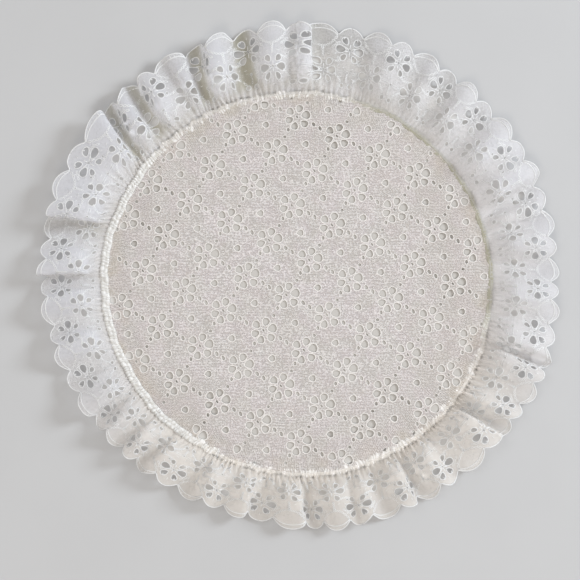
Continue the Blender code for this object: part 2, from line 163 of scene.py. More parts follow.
# Chains of small eyes that join the flowers: where each begins and ends, how far its middle bows
# outwards, and how many eyes it has.
Chain = namedtuple("Chain", "begin end bow eyes")
LACE_CHAINS = tuple(Chain(*row) for row in (
    ((20.9, 22.0), (27.0, 22.2), -0.9, 4),
    ((36.6, 22.2), (43.4, 22.0), -0.9, 4),
    ((32.0, 23.4), (32.0, 29.4), 0.0, 4),
    ((16.0, 9.4), (16.0, 14.0), 0.0, 3),
    ((21.8, 32.6), (26.6, 28.8), 0.5, 3),
    ((37.4, 28.8), (42.2, 32.6), 0.5, 3),
    ((25.0, 14.0), (19.6, 9.2), 0.6, 4),
    ((39.0, 14.0), (44.4, 9.2), 0.6, 4),
))
CHAIN_SWING = 0.55              # half the width of a chain's eyes
LENS_EYES = 11

# Short satin stitches sown on the lace: the middle, the length and the turn of each.
Stitch = namedtuple("Stitch", "along across length turn")
LACE_STITCHES = tuple(Stitch(*row) for row in (
    (24.6, 32.8, 1.8, 40), (24.4, 25.6, 1.6, 130), (28.8, 25.2, 1.5, 20),
    (39.4, 32.8, 1.8, 140), (39.6, 25.6, 1.6, 50), (35.2, 25.2, 1.5, 160),
    (12.0, 12.0, 1.6, 35), (20.2, 12.4, 1.6, 145), (10.6, 15.4, 1.5, 70),
    (13.0, 18.0, 1.6, 10), (19.0, 18.0, 1.6, 170), (22.4, 18.6, 1.5, 125),
    (16.0, 36.6, 1.6, 90), (12.4, 35.2, 1.6, 60), (19.6, 35.2, 1.6, 120),
    (28.6, 7.8, 1.6, 60), (35.4, 7.8, 1.6, 120), (32.0, 6.6, 1.6, 0),
))

# The panel's flowers stand on a slanted grid: its two steps, one of its crossings, how many are
# looked at each way from there, how far from the middle they reach, and one flower with its dots.
PANEL_STEP_A = (23.1, -11.4)
PANEL_STEP_B = (-13.1, -20.3)
PANEL_FIRST = (-7.7, -8.0)
PANEL_CROSSINGS = 9
PANEL_LAST = SEAM_RADIUS / MM + 16.0
PANEL_MOTIF = tuple(Eyelet(*row) for row in (
    (5.1, 1.1, 5.3, 4.8, 12),
    (1.5, 4.8, 4.6, 4.0, 72),
    (-3.8, 3.2, 4.5, 4.1, 140),
    (-4.4, -1.8, 4.6, 3.9, 202),
    (-1.3, -5.3, 4.5, 4.0, 255),
    (4.3, -4.0, 4.5, 4.1, 317),
    (0.1, 0.0, 2.0, 1.2, 125),
    (9.7, -4.5, 2.8, 2.0, 120),
    (13.4, -6.9, 2.9, 1.9, 112),
    (6.0, 8.5, 2.0, 1.8, 0),
    (8.1, 12.7, 2.3, 1.8, 90),
    (18.0, 4.3, 3.8, 3.5, 0),
))
PANEL_CLEAR_RIM = 1.3           # eyelets nearer the seam than this are left out

# ---- Cloth and stitches, in millimetres ----
LACE_CLOTH = 0.34
PANEL_CLOTH = 0.22
PANEL_LEVEL = 0.37              # the middle of the panel's cloth above the surface
LEAST_LEVEL = 0.26              # the middle of the lace is never lower
# Cross-section of an eyelet's stitched rim: outwards from the hole's edge, and up from the cloth.
LACE_RIM = ((-0.06, -0.20), (-0.10, 0.10), (0.05, 0.24), (0.28, 0.24), (0.48, 0.10), (0.44, -0.20))
PANEL_RIM = ((-0.06, -0.12), (-0.10, 0.05), (0.06, 0.15), (0.38, 0.15), (0.60, 0.05), (0.56, -0.12))
CORD = ((-0.42, -0.20), (-0.36, 0.20), (0.0, 0.38), (0.36, 0.20), (0.42, -0.20))
THREAD_PITCH = 0.42             # of the stitching's close threads

# Small waves drawn up in the lace: how many round the strip, their height, the distances from the
# seam where they begin, are fullest and end, and how far they wander sideways.
Gather = namedtuple("Gather", "waves height begin full end wander phase")
GATHERS = tuple(Gather(*row) for row in (
    (262, 0.80, 0.9, 3.4, 14.0, 1.6, 0.0),
    (171, 0.42, 2.0, 7.0, 24.0, 1.2, 2.1),
    (93, 0.62, 3.0, 11.0, 42.0, 1.3, 0.7),
    (52, 0.45, 8.0, 22.0, 60.0, 0.9, 3.3),
    (64, 0.55, 28.0, 43.0, 60.0, 0.5, 1.1),
))
PLEAT_REACH = 8.0               # gathers that are fullest nearer the seam are deeper in its pleats
PLEAT_TURN = math.radians(15.0)     # the doily's angle where the strip's place is 0

# Meshing.
DRAPE_COLUMNS = 84
DRAPE_ROWS = 92
NEAR_ROWS = (1.1, 2.2, 3.3, 4.5, 5.8, 7.2, 8.7, 10.3)
NEAR_STEP = 0.80
FAR_ROWS = tuple(12.0 + 1.75 * row for row in range(18))
FAR_STEP = 1.75
PANEL_GRID = 1.75
SEAM_STEPS = 2200
ROOT_STEPS = int(REPEAT / NEAR_STEP)    # along one repeat of the strip, at the seam
EDGE_STEPS = 44                 # and at the free edge
RIM_STEPS = 420                 # round the panel
ROW_SHARE = 0.866               # rows of nearly equal triangles, against the step along a row
BROAD_END = 1.12                # how much of an eyelet's width is kept clear, for its broad end
WELDS_PER_MM = 200              # points nearer than one of these are joined
INSIDE_WITH_HOLES = 2           # the triangulation that leaves the loops inside the outline open


# ---- The seam's outline and the drape ----
def seam_radius(angle):
    """Radius of the seam's middle at an angle in radians."""
    radius = SEAM_RADIUS
    for waves, height, crest_deg in SEAM_WAVES:
        radius = radius + height * np.cos(waves * (angle - math.radians(crest_deg)))
    return radius


def ripple(angle, level, waves):
    """A level with waves round the doily added, each of them (count, height, phase)."""
    for count, height, phase in waves:
        level = level + height * np.sin(count * angle + phase)
    return level


def slow_waves(turn, phase=0.0):
    """How far the small gathers and lumps wander from even steps."""
    slow = np.sin(7 * turn + phase) + 0.7 * np.sin(19 * turn + 2.0 * phase)
    return slow + 0.5 * np.sin(43 * turn + 1.3 + phase)


def side_curve(slope, steps):
    """One side of a fold, of length 1, from valley to crest: its points (run, rise)."""
    share = (np.arange(steps) + 0.5) / steps
    tilt = slope * np.sin(math.pi * share)
    run = np.concatenate(([0.0], np.cumsum(np.cos(tilt)) / steps))
    rise = np.concatenate(([0.0], np.cumsum(np.sin(tilt)) / steps))
    return run, rise


def slope_for_rise(wanted):
    """The slope whose side_curve rises by the wanted share of its length."""
    low, high = 0.0, math.radians(110)
    for _ in range(30):
        middle = 0.5 * (low + high)
        if side_curve(middle, 24)[1][-1] < wanted:
            low = middle
        else:
            high = middle
    return 0.5 * (low + high)


def fold_profile(length, climb, drop, overhang):
    """Cross-section of one fold: (cloth, run, height) arrays, cloth and run going from 0 to 1."""
    if overhang == 0:
        first = length * climb / (climb + drop)
    else:
        steep = math.radians(abs(overhang))
        steep_rise = side_curve(steep, 24)[1][-1]
        first = climb / steep_rise if overhang < 0 else length - drop / steep_rise
    sides = ((first, climb), (length - first, drop))
    run, height = [np.zeros(1)], [np.zeros(1)]
    steps = DRAPE_COLUMNS // 2
    for index, (cloth, rise) in enumerate(sides):
        curve_run, curve_rise = side_curve(slope_for_rise(min(rise / cloth, 0.75)), steps)
        if overhang != 0 and (index == 0) == (overhang < 0):
            curve_run, curve_rise = side_curve(math.radians(abs(overhang)), steps)
        sign = 1.0 if index == 0 else -1.0
        run.append(run[-1][-1] + curve_run[1:] * cloth)
        height.append(height[-1][-1] + sign * curve_rise[1:] * rise / curve_rise[-1])
    run, height = np.concatenate(run), np.concatenate(height)
    share = np.arange(steps + 1) / steps
    cloth = np.concatenate((share * first, (first + share * (length - first))[1:])) / length
    return cloth, run / run[-1], height


def around(angle, column):
    """A column of EDGES in metres, at an angle in degrees, eased smoothly between its rows."""
    knots = [row.angle for row in EDGES]
    values = [getattr(row, column) * MM for row in EDGES]
    knots = np.array([knots[-1] - 360.0] + knots + [knots[0] + 360.0])
    values = np.array([values[-1]] + values + [values[0]])
    angle = np.mod(angle, 360.0)
    index = np.clip(np.searchsorted(knots, angle, side="right") - 1, 0, len(knots) - 2)
    share = (angle - knots[index]) / (knots[index + 1] - knots[index])
    ease = share * share * (3.0 - 2.0 * share)
    return values[index] + (values[index + 1] - values[index]) * ease


def rise_from_seam(share):
    """How much of a fold's height is reached at each share of the strip's width."""
    root = HELD_FLAT / RUFFLE_WIDTH
    inner = np.clip((share - root) / (FOLD_RISE - root), 0.0, 1.0)
    outer = np.clip((share - FOLD_RISE) / (1.0 - FOLD_RISE), 0.0, 1.0)
    return np.sin(0.5 * math.pi * inner) ** 1.2 * (1.0 - (1.0 - EDGE_FLARE) * outer ** 1.5)


def place_on_doily(angle_deg, share, level, crestness):
    """Points across the strip at the given angles, with the fold's own height and the arch added."""
    angle = np.radians(angle_deg)
    reach = around(angle_deg, "reach")
    lift = around(angle_deg, "lift")
    spare = np.clip(RUFFLE_WIDTH - reach, 0.0, None)
    bunch = 0.9 * spare / RUFFLE_WIDTH
    arch = ARCH_SHARE * (2.0 / math.pi) * np.sqrt(reach * spare)
    root = HELD_FLAT / RUFFLE_WIDTH
    beyond = np.clip((share - root) / (1.0 - root), 0.0, 1.0)
    out = np.minimum(share, root) * RUFFLE_WIDTH
    out = out + (reach - HELD_FLAT) * (beyond - bunch * beyond * (1.0 - beyond))
    radius = seam_radius(angle) + out
    lifted = lift * beyond ** 2 * (0.5 + 0.5 * crestness)
    arched = arch * np.sin(math.pi * beyond ** 0.8) * (VALLEY_ARCH + (1.0 - VALLEY_ARCH) * crestness)
    height = 0.5 * RUFFLE_THICKNESS + level + lifted + arched
    return np.stack((radius * np.cos(angle), radius * np.sin(angle), height), axis=-1)


def drape_table():
    """The ruffle's folds as a grid: (along in repeats, points[column, row] in space)."""
    share = np.linspace(0.0, 1.0, DRAPE_ROWS + 1)
    envelope = rise_from_seam(share)
    even = np.clip(envelope * 1.6, 0.0, 1.0)
    alongs, columns = [], []
    for number, fold in enumerate(FOLDS):
        after = FOLDS[(number + 1) % len(FOLDS)]
        turn = 1 if number + 1 == len(FOLDS) else 0
        floor, crest, next_floor = fold.floor * MM, fold.crest * MM, after.floor * MM
        end_repeat = after.repeat + REPEATS * turn
        length = (end_repeat - fold.repeat) * REPEAT_LENGTH
        cloth, run, height = fold_profile(length, crest - floor, crest - next_floor, fold.overhang)
        level = floor + height
        crestness = np.sin(0.5 * math.pi * np.clip(level / HIGHEST_CREST, 0.0, 1.0))
        start_deg = fold.seam_deg + (fold.edge_deg - fold.seam_deg) * share
        end_deg = after.seam_deg + (after.edge_deg - after.seam_deg) * share + 360.0 * turn
        for step in range(len(cloth) if turn else len(cloth) - 1):
            run_here = cloth[step] + (run[step] - cloth[step]) * even
            angle_deg = start_deg + (end_deg - start_deg) * run_here
            columns.append(place_on_doily(angle_deg, share, level[step] * envelope, crestness[step]))
            alongs.append(fold.repeat + (end_repeat - fold.repeat) * cloth[step])
    return np.array(alongs), np.array(columns)


def grid_normals(points):
    """Upward unit normals of the drape's grid, which closes on itself round the doily."""
    ring = np.concatenate((points[-2:-1], points, points[1:2]))
    round_it = ring[2:] - ring[:-2]
    outward = np.gradient(points, axis=1)
    normal = np.cross(outward, round_it)
    return normal / np.linalg.norm(normal, axis=-1, keepdims=True)


# Where the seam sinks into a groove painted dark and yellowish for its shade and stain, where its ridge gives
# way to ragged pleats, and where the lace is soiled and painted with shade low in its folds, creamier, or
# painted lighter on the side towards the window: the middle and the half width of each stretch in degrees,
# and the share of it over which it is at its full strength.
Stretch = namedtuple("Stretch", "middle half_width full")
GROOVE = Stretch(32, 58, 0.6)
PLEATED_BELOW = Stretch(290, 64, 0.6)
PLEATED_ABOVE = Stretch(105, 42, 0.6)
SOILED_AND_SHADED = Stretch(127, 45, 0.6)
CREAMY = Stretch(278, 80, 0.5)
PAINTED_LIT_SIDE = Stretch(355, 68, 0.5)


def stretch_ends(stretch):
    """How close an angle is to a stretch's middle, as a cosine, where it ends and where it is full."""
    half_width = stretch.half_width
    return math.cos(math.radians(half_width)), math.cos(math.radians(stretch.full * half_width))


def within(angle, stretch):
    """1 in the middle of a stretch, easing to 0 at its ends; angle in radians."""
    closeness = np.cos(angle - math.radians(stretch.middle))
    end, full = stretch_ends(stretch)
    share = np.clip((closeness - end) / (full - end), 0.0, 1.0)
    return share * share * (3.0 - 2.0 * share)


def pleated(angle):
    """How far the ridge gives way to ragged pleats at an angle, from 0 to 1."""
    return within(angle, PLEATED_BELOW) + within(angle, PLEATED_ABOVE)


def gather_height(along, across):
    """Height in mm of the small gathers at places on the strip: along in repeats, across in mm."""
    turn = TURN * along / REPEATS
    total = np.zeros(np.broadcast(along, across).shape)
    eased = 1.0 - 0.5 * np.clip((np.cos(turn - 0.35) - 0.45) / 0.4, 0.0, 1.0)
    for gather in GATHERS:
        slow = slow_waves(turn, gather.phase) + 0.035 * across * np.sin(11 * turn)
        wave = 1.0 - 1.7 * np.abs(np.sin(0.5 * (gather.waves * turn + gather.wander * slow) + gather.phase))
        size = ripple(turn, 0.8, ((29, 0.2, gather.waves), (13, 0.15, gather.phase)))
        if gather.full < PLEAT_REACH:
            size = size * (1.0 + 0.6 * pleated(turn + PLEAT_TURN))
        rise = np.clip((across - gather.begin) / (gather.full - gather.begin), 0.0, 1.0)
        fall = np.clip((gather.end - across) / (gather.end - gather.full), 0.0, 1.0)
        total = total + gather.height * eased * size * wave * np.sin(0.5 * math.pi * rise) * fall ** 1.3
    return total


def gathered_drape():
    """The drape with its gathers drawn up: (along in repeats, points, upward normals)."""
    alongs, points = drape_table()
    across = np.linspace(0.0, WIDTH, DRAPE_ROWS + 1)
    small = gather_height(alongs[:, None], across[None, :]) * MM
    points = points + grid_normals(points) * small[..., None]
    low = LEAST_LEVEL * MM
    points[..., 2] = np.maximum(points[..., 2], low + 0.15 * np.clip(points[..., 2], -low, low))
    return alongs, points, grid_normals(points)


LACE_DRAPE = gathered_drape()


def on_lace(flat, height):
    """Points and normals on the draped lace, at flat places (mm) and heights (mm) above its middle."""
    alongs, points, normals = LACE_DRAPE
    along = np.mod(flat[:, 0] / REPEAT - alongs[0], REPEATS) + alongs[0]
    column = np.clip(np.searchsorted(alongs, along, side="right") - 1, 0, len(alongs) - 2)
    u = ((along - alongs[column]) / (alongs[column + 1] - alongs[column]))[:, None]
    place = np.clip(flat[:, 1] / WIDTH, 0.0, 1.0) * DRAPE_ROWS
    row = np.clip(place.astype(int), 0, DRAPE_ROWS - 1)
    v = (place - row)[:, None]
    found = []
    for grid in (points, normals):
        near = grid[column, row] * (1 - v) + grid[column, row + 1] * v
        far = grid[column + 1, row] * (1 - v) + grid[column + 1, row + 1] * v
        found.append(near * (1 - u) + far * u)
    normal = found[1] / np.linalg.norm(found[1], axis=1, keepdims=True)
    return found[0] + normal * (height * MM)[:, None], normal


def panel_level(x, y):
    """Height in mm of the middle of the panel's cloth: nearly flat, puckered towards the seam."""
    angle = np.arctan2(y, x)
    reach = np.hypot(x, y) * MM / seam_radius(angle)
    outward = np.clip((reach - 0.62) / 0.2, 0.0, 1.0)
    inward = np.clip((0.965 - reach) / 0.1, 0.0, 1.0)
    pucker = ripple(angle, 0.5, ((5, 0.3, 0.6), (9, 0.2, 2.0)))
    level = PANEL_LEVEL + 0.55 * outward * inward * pucker
    fine = np.sin(88 * angle + 2.0 * np.sin(9 * angle)) + 0.7 * np.sin(143 * angle + 1.5 * np.sin(14 * angle))
    level = level + 0.08 * np.clip((reach - 0.78) / 0.2, 0.0, 1.0) * fine
    slack = np.sin(0.19 * x + 1.4 * np.sin(0.09 * y)) * np.sin(0.13 * y + 1.1 * np.sin(0.08 * x + 1.0))
    return np.maximum(level + 0.10 * slack, 0.5 * PANEL_CLOTH + 0.02)


def on_panel(flat, height):
    """Points and normals on the panel, at flat places (mm) and heights (mm) above its middle."""
    x, y = flat[:, 0], flat[:, 1]
    level = panel_level(x, y)
    step = 0.3
    slope_x = (panel_level(x + step, y) - level) / step
    slope_y = (panel_level(x, y + step) - level) / step
    normal = np.column_stack((-slope_x, -slope_y, np.ones(len(x))))
    normal = normal / np.linalg.norm(normal, axis=1, keepdims=True)
    points = np.column_stack((x, y, level)) + normal * height[:, None]
    return points * MM, normal


# ---- Flat patterns ----
def placed(eyelet, along, across):
    """A charted eyelet, moved."""
    return eyelet._replace(along=along + eyelet.along, across=across + eyelet.across)


def grade_of(eyelet):
    """The row of GRADES that an eyelet falls in."""
    return next(grade for grade in GRADES if eyelet.length > grade.over)


def eyelet_loop(eyelet):
    """An eyelet's outline, an oval that is broader towards its outer end."""
    grade = grade_of(eyelet)
    turn = math.radians(eyelet.turn)
    loop = []
    for number in range(grade.points):
        angle = TURN * number / grade.points
        long_way = 0.5 * eyelet.length * math.cos(angle)
        wide_way = 0.5 * eyelet.width * math.sin(angle) * (1.0 + grade.taper * math.cos(angle))
        loop.append((eyelet.along + long_way * math.cos(turn) - wide_way * math.sin(turn),
                     eyelet.across + long_way * math.sin(turn) + wide_way * math.cos(turn)))
    return loop


def scallop_arch(offset):
    """Height of a scallop, from 0 at its ends to 1 in its middle, where the offset is 0."""
    return 1.0 - abs(offset) ** SCALLOP_FULLNESS


def scallop_edge(along):
    """Width of the strip in mm at a place along it, in repeats."""
    for scallop in SCALLOPS:
        offset = abs((along - scallop.place + 0.5) % 1.0 - 0.5) / scallop.half_width
        if offset < 1.0:
            return NOTCH + scallop.height * scallop_arch(offset)
    return NOTCH


def clear_of(points, holes, margin):
    """Which of the points are at least the margin outside every hole."""
    clear = np.ones(len(points), bool)
    for eyelet in holes:
        turn = math.radians(eyelet.turn)
        dx, dy = (points - (eyelet.along, eyelet.across)).T
        long_way = (dx * math.cos(turn) + dy * math.sin(turn)) / (0.5 * eyelet.length + margin)
        wide_way = (dy * math.cos(turn) - dx * math.sin(turn)) / (0.5 * eyelet.width * BROAD_END + margin)
        clear &= long_way * long_way + wide_way * wide_way >= 1.0
    return clear


def cut_cloth(outline, holes, free, margin):
    """Triangulate a flat outline with its eyelets left open: (points in mm, triangles).

    Of the free points inside it, those that come nearer to an eyelet than the margin are left out.
    """
    points = list(outline)
    loops = [list(range(len(outline)))]
    for eyelet in holes:
        loop = eyelet_loop(eyelet)
        loops.append(list(range(len(points), len(points) + len(loop))))
        points.extend(loop)
    free = np.array(free)
    points.extend(free[clear_of(free, holes, margin)].tolist())
    cut = delaunay_2d_cdt([Vector(point) for point in points], [], loops, INSIDE_WITH_HOLES, 1e-4)
    return np.array([tuple(point) for point in cut[0]]), np.array(cut[2])


def lace_holes(number=0):
    """The eyelets of one repeat of the lace."""
    start = REPEAT * number
    holes = [placed(eyelet, start + along, across)
             for along, across in LACE_FLOWERS for eyelet in LACE_FLOWER]
    return holes + [placed(eyelet, start, 0.0) for eyelet in LACE_DOTS]


def join_line(across):
    """Where one repeat of the chart meets the next: a line that bends to pass between the eyelets."""
    return 8.6 - 1.4 * min(max((across - 19.0) / 6.0, 0.0), 1.0)


def lace_repeat():
    """One repeat of the lace strip, cut and triangulated flat: (points in mm, triangles)."""
    start = join_line(WIDTH)
    start_edge = scallop_edge(start / REPEAT)
    rows = [row for row in (0.15, *NEAR_ROWS, *FAR_ROWS) if row < start_edge - 0.8]
    left = [(join_line(row), row) for row in rows]
    right = [(place + REPEAT, row) for place, row in left]
    root = [(join_line(0.0) + REPEAT * step / ROOT_STEPS, rows[0]) for step in range(1, ROOT_STEPS)]
    edge = []
    for step in range(EDGE_STEPS + 1):
        along = start + REPEAT * (1.0 - step / EDGE_STEPS)
        edge.append((along, scallop_edge(along / REPEAT)))
    free = []
    for number, row in enumerate(rows[1:]):
        count = int(REPEAT / (NEAR_STEP if row <= NEAR_ROWS[-1] else FAR_STEP))
        for step in range(1, count):
            along = join_line(row) + (step + 0.3 * (number % 2)) * REPEAT / count
            if row < scallop_edge(along / REPEAT) - 0.7:
                free.append((along, row))
    return cut_cloth(left[:1] + root + right + edge + left[:0:-1], lace_holes(), free, 0.45)


def lace_strip():
    """The whole strip as a closed ring: the one repeat laid REPEATS times and joined."""
    flat, faces = lace_repeat()
    all_flat = np.concatenate([flat + (REPEAT * number, 0.0) for number in range(REPEATS)])
    all_faces = np.concatenate([faces + len(flat) * number for number in range(REPEATS)])
    length = REPEAT * REPEATS
    key = np.round(np.column_stack((np.mod(all_flat[:, 0], length), all_flat[:, 1])) * WELDS_PER_MM)
    key[:, 0] = np.mod(key[:, 0], length * WELDS_PER_MM)
    _, first, back = np.unique(key, axis=0, return_index=True, return_inverse=True)
    return all_flat[first], back.reshape(-1)[all_faces]


def room_inside(x, y):
    """How far inside the seam a place on the panel is, in mm."""
    return seam_radius(math.atan2(y, x)) / MM - math.hypot(x, y)


def panel_holes():
    """The panel's eyelets that are clear of the seam."""
    holes = []
    for i in range(-PANEL_CROSSINGS, PANEL_CROSSINGS + 1):
        for j in range(-PANEL_CROSSINGS, PANEL_CROSSINGS + 1):
            x = PANEL_FIRST[0] + i * PANEL_STEP_A[0] + j * PANEL_STEP_B[0]
            y = PANEL_FIRST[1] + i * PANEL_STEP_A[1] + j * PANEL_STEP_B[1]
            if math.hypot(x, y) < PANEL_LAST:
                holes.extend(placed(eyelet, x, y) for eyelet in PANEL_MOTIF)
    return [eyelet for eyelet in holes
            if room_inside(eyelet.along, eyelet.across) - 0.5 * eyelet.length > PANEL_CLEAR_RIM]


def panel_disc():
    """The panel, cut and triangulated flat: (points in mm, triangles)."""
    rim = []
    for step in range(RIM_STEPS):
        angle = TURN * step / RIM_STEPS
        radius = seam_radius(angle) / MM - 0.15
        rim.append((radius * math.cos(angle), radius * math.sin(angle)))
    free = []
    count = int(SEAM_RADIUS / MM / PANEL_GRID / ROW_SHARE)
    for j in range(-count, count + 1):
        for i in range(-count, count + 1):
            x = (i + 0.5 * (j % 2)) * PANEL_GRID
            y = j * PANEL_GRID * ROW_SHARE
            if room_inside(x, y) >= 1.0:
                free.append((x, y))
    return cut_cloth(rim, panel_holes(), free, 0.5)


# ---- Meshes ----
def add_to_scene(name, data):
    """A new object in the scene."""
    thing = bpy.data.objects.new(name, data)
    bpy.context.scene.collection.objects.link(thing)
    return thing


def new_piece(name, points, faces, chart=None):
    """A mesh object in the scene; chart is a flat place in mm for each point, kept as a UV map."""
    mesh = bpy.data.meshes.new(name)
    mesh.from_pydata(np.array(points).tolist(), [], faces)
    mesh.update()
    mesh.shade_smooth()
    if chart is not None:
        corners = np.zeros(len(mesh.loops), np.int32)
        mesh.loops.foreach_get("vertex_index", corners)
        layer = mesh.uv_layers.new(name="Chart")
        layer.data.foreach_set("uv", chart[corners].astype(np.float32).ravel())
    return add_to_scene(name, mesh)


def boundary_edges(faces):
    """The edges that only one triangle has, in that triangle's direction."""
    edges = np.concatenate((faces[:, [0, 1]], faces[:, [1, 2]], faces[:, [2, 0]]))
    key = np.sort(edges, axis=1)
    _, back, count = np.unique(key, axis=0, return_inverse=True, return_counts=True)
    return edges[count[back.reshape(-1)] == 1]


def thick_cloth(name, flat, faces, place, thickness):
    """A closed sheet: the flat pattern placed in space, with a top, an underside and cut edges."""
    half = np.full(len(flat), 0.5 * thickness)
    top, normal = place(flat, half)
    under, _ = place(flat, -half)
    corner = top[faces]
    facing = np.cross(corner[:, 1] - corner[:, 0], corner[:, 2] - corner[:, 0])
    if np.median(np.einsum("ij,ij->i", facing, normal[faces[:, 0]])) < 0:
        faces = faces[:, ::-1]
    rim = boundary_edges(faces)
    count = len(flat)
    walls = np.concatenate((np.column_stack((rim[:, 1], rim[:, 0], rim[:, 0] + count)),
                            np.column_stack((rim[:, 1], rim[:, 0] + count, rim[:, 1] + count))))
    all_faces = np.concatenate((faces, faces[:, ::-1] + count, walls)).tolist()
    piece = new_piece(name, np.concatenate((top, under)), all_faces, np.concatenate((flat, flat)))
    piece.data.set_sharp_from_angle(angle=math.radians(60))
    return piece


def tube_faces(rows, sides, closed, first=0):
    """Faces between rings of points in rows, the first point's number given; an open tube has caps."""
    last = rows if closed else rows - 1
    row = np.repeat(np.arange(last), sides)
    corner = np.tile(np.arange(sides), last)
    after_row, after_corner = (row + 1) % rows, (corner + 1) % sides
    quads = np.column_stack((row * sides + corner, row * sides + after_corner,
                             after_row * sides + after_corner, after_row * sides + corner))
    faces = (quads + first).tolist()
    if not closed:
        ring = np.arange(sides) + first
        faces += [ring[::-1].tolist(), (ring + last * sides).tolist()]
    return faces


def to_the_right(along):
    """Unit directions to the right of flat directions."""
    return np.column_stack((along[:, 1], -along[:, 0])) / np.linalg.norm(along, axis=1, keepdims=True)


def stitched_lines(name, lines, place):
    """Raised stitching along flat lines: each is (points in mm, cross-section, closed)."""
    flats, heights, charts, faces = [], [], [], []
    first = 0
    for points, section, closed in lines:
        points, section = np.array(points), np.array(section)
        if closed:
            along = np.roll(points, -1, axis=0) - np.roll(points, 1, axis=0)
        else:
            along = np.concatenate((points[1:], points[-1:])) - np.concatenate((points[:1], points[:-1]))
        out = to_the_right(along)[:, None, :] * section[None, :, :1]
        rows, sides = len(points), len(section)
        flats.append((points[:, None, :] + out).reshape(-1, 2))
        heights.append(np.tile(section[:, 1], rows))
        length = np.concatenate(([0.0], np.cumsum(np.linalg.norm(np.diff(points, axis=0), axis=1))))
        charts.append(np.column_stack((np.repeat(length, sides), np.tile(np.arange(sides), rows))))
        faces += tube_faces(rows, sides, closed, first)
        first += rows * sides
    points, _ = place(np.concatenate(flats), np.concatenate(heights))
    return new_piece(name, points, faces, np.concatenate(charts))


def scaled(section, share):
    """A cross-section made smaller or larger."""
    return [(out * share, up * share) for out, up in section]


def cord(points, share):
    """An open line of a share of the full cord's thickness."""
    return points, scaled(CORD, share), False


def rim_lines(holes, section):
    """The stitched rims of eyelets, finer round the smaller ones."""
    return [(eyelet_loop(eyelet), scaled(section, grade_of(eyelet).rim), True) for eyelet in holes]


def chained(path, eyes):
    """Two fine lines that cross again and again along a path, like a row of small eyes."""
    path = np.array(path)
    side = to_the_right(np.gradient(path, axis=0))
    swing = CHAIN_SWING * np.sin(math.pi * eyes * np.linspace(0.0, 1.0, len(path)))
    return [cord(path + sign * swing[:, None] * side, 0.62) for sign in (-1, 1)]


def edge_cords(start):
    """The cords of one repeat's scalloped edge, and of the lens inside the large scallop."""
    edge, inner, lens = [], [], []
    steps = 40
    for step in range(steps + 1):
        along = start - 0.5 * REPEAT + REPEAT * step / steps
        edge.append((along, scallop_edge(along / REPEAT) - 0.35))
    half = SCALLOPS[0].half_width * REPEAT
    steps = 36
    for step in range(steps + 1):
        offset = 2.0 * step / steps - 1.0
        inner.append((start + 0.95 * half * offset, NOTCH - 0.6 + 3.6 * scallop_arch(offset)))
        lens.append((start + 0.93 * half * offset, NOTCH - 1.0 - 6.2 * scallop_arch(offset)))
    lines = [cord(edge, 0.90), cord(inner[::2], 0.85), *chained(lens, LENS_EYES)]
    for stitch in range(HATCH_STITCHES):
        offset = 1.8 * (stitch + 0.5) / HATCH_STITCHES - 0.9
        along = start + half * offset
        low = (along, NOTCH - 0.6 + 3.6 * scallop_arch(offset / 0.95))
        high = (along + 0.2, NOTCH - 0.5 + 6.0 * scallop_arch(offset))
        lines.append(cord([low, high], 0.42))
    return lines


def flower_threads(start):
    """The stems at one repeat's large scallop, and the threads that part its flowers' petals."""
    lines = []
    for side in (-1, 1):
        for row in (-0.6, 0.6):
            lines.append(cord([(start + side * (9.0 + 0.9 * step), 15.3 + row) for step in range(7)], 0.5))
    for along, across in LACE_FLOWERS:
        for degrees in WEB_DEGREES:
            turn = math.radians(degrees)
            web = [(start + along + reach * math.cos(turn), across + reach * math.sin(turn))
                   for reach in (WEB_FROM, 0.5 * (WEB_FROM + WEB_TO), WEB_TO)]
            lines.append(cord(web, 0.75))
    return lines


def chains_and_stitches(start):
    """The chains of small eyes of one repeat, and the short stitches sown on it."""
    lines = []
    for chain in LACE_CHAINS:
        share = np.linspace(0.0, 1.0, 3 * chain.eyes + 1)
        path = np.outer(1.0 - share, chain.begin) + np.outer(share, chain.end)
        path = path + (start, 0.0) + np.outer(4.0 * share * (1.0 - share), (0.0, chain.bow))
        lines.extend(chained(path, chain.eyes))
    for stitch in LACE_STITCHES:
        turn = math.radians(stitch.turn)
        run, rise = 0.5 * stitch.length * math.cos(turn), 0.5 * stitch.length * math.sin(turn)
        lines.append(cord([(start + stitch.along - run, stitch.across - rise),
                           (start + stitch.along + run, stitch.across + rise)], 0.62))
    return lines


# ---- The seam ----
# Cross-section of the seam's ridge in mm: outwards from its middle, and up from the surface.
RIDGE = ((-2.20, 0.35), (-2.35, 0.70), (-1.95, 1.25), (-1.20, 1.70), (-0.50, 1.60), (0.0, 1.38),
         (0.5, 1.60), (1.2, 1.80), (1.9, 1.45), (2.55, 1.00), (2.4, 0.45), (0.0, 0.30))
RIDGE_TOP = np.array(RIDGE[1:9])
RIDGE_FOOT = 0.5                # below this the ridge keeps its shape, in mm
LUMPS = 330                     # drawn-up pleats round the ridge
THREAD = 0.17                   # half the thickness of the overlock's thread
THREADS = 420                   # round the ridge, with those that are left out
THREAD_SIDES = 5


def seam_lump(angle, out):
    """How full the ridge is at a place, from 0 between two drawn-up pleats to 1 on one."""
    slow = ripple(angle, slow_waves(angle), ((97, 0.8, 0.4), (151, 0.5, 2.0)))
    stagger = 1.5 * np.tanh(2.5 * out) * (1.0 - 0.8 * pleated(angle))
    wave = 0.5 + 0.5 * np.sin(LUMPS * angle + 2.2 * slow + stagger)
    uneven = 0.82 + 0.18 * np.sin(83 * angle + 2.0 * np.sin(17 * angle) + np.sign(out))
    return wave ** 0.7 * uneven


def seam_stand(angle):
    """Share of the ridge's full height at an angle."""
    uneven = ripple(angle, 1.0, ((5, 0.10, 1.0), (23, 0.08, 0.0), (61, 0.09, 0.0)))
    return np.maximum(0.90 - 0.48 * within(angle, GROOVE) - 0.54 * pleated(angle), 0.34) * uneven


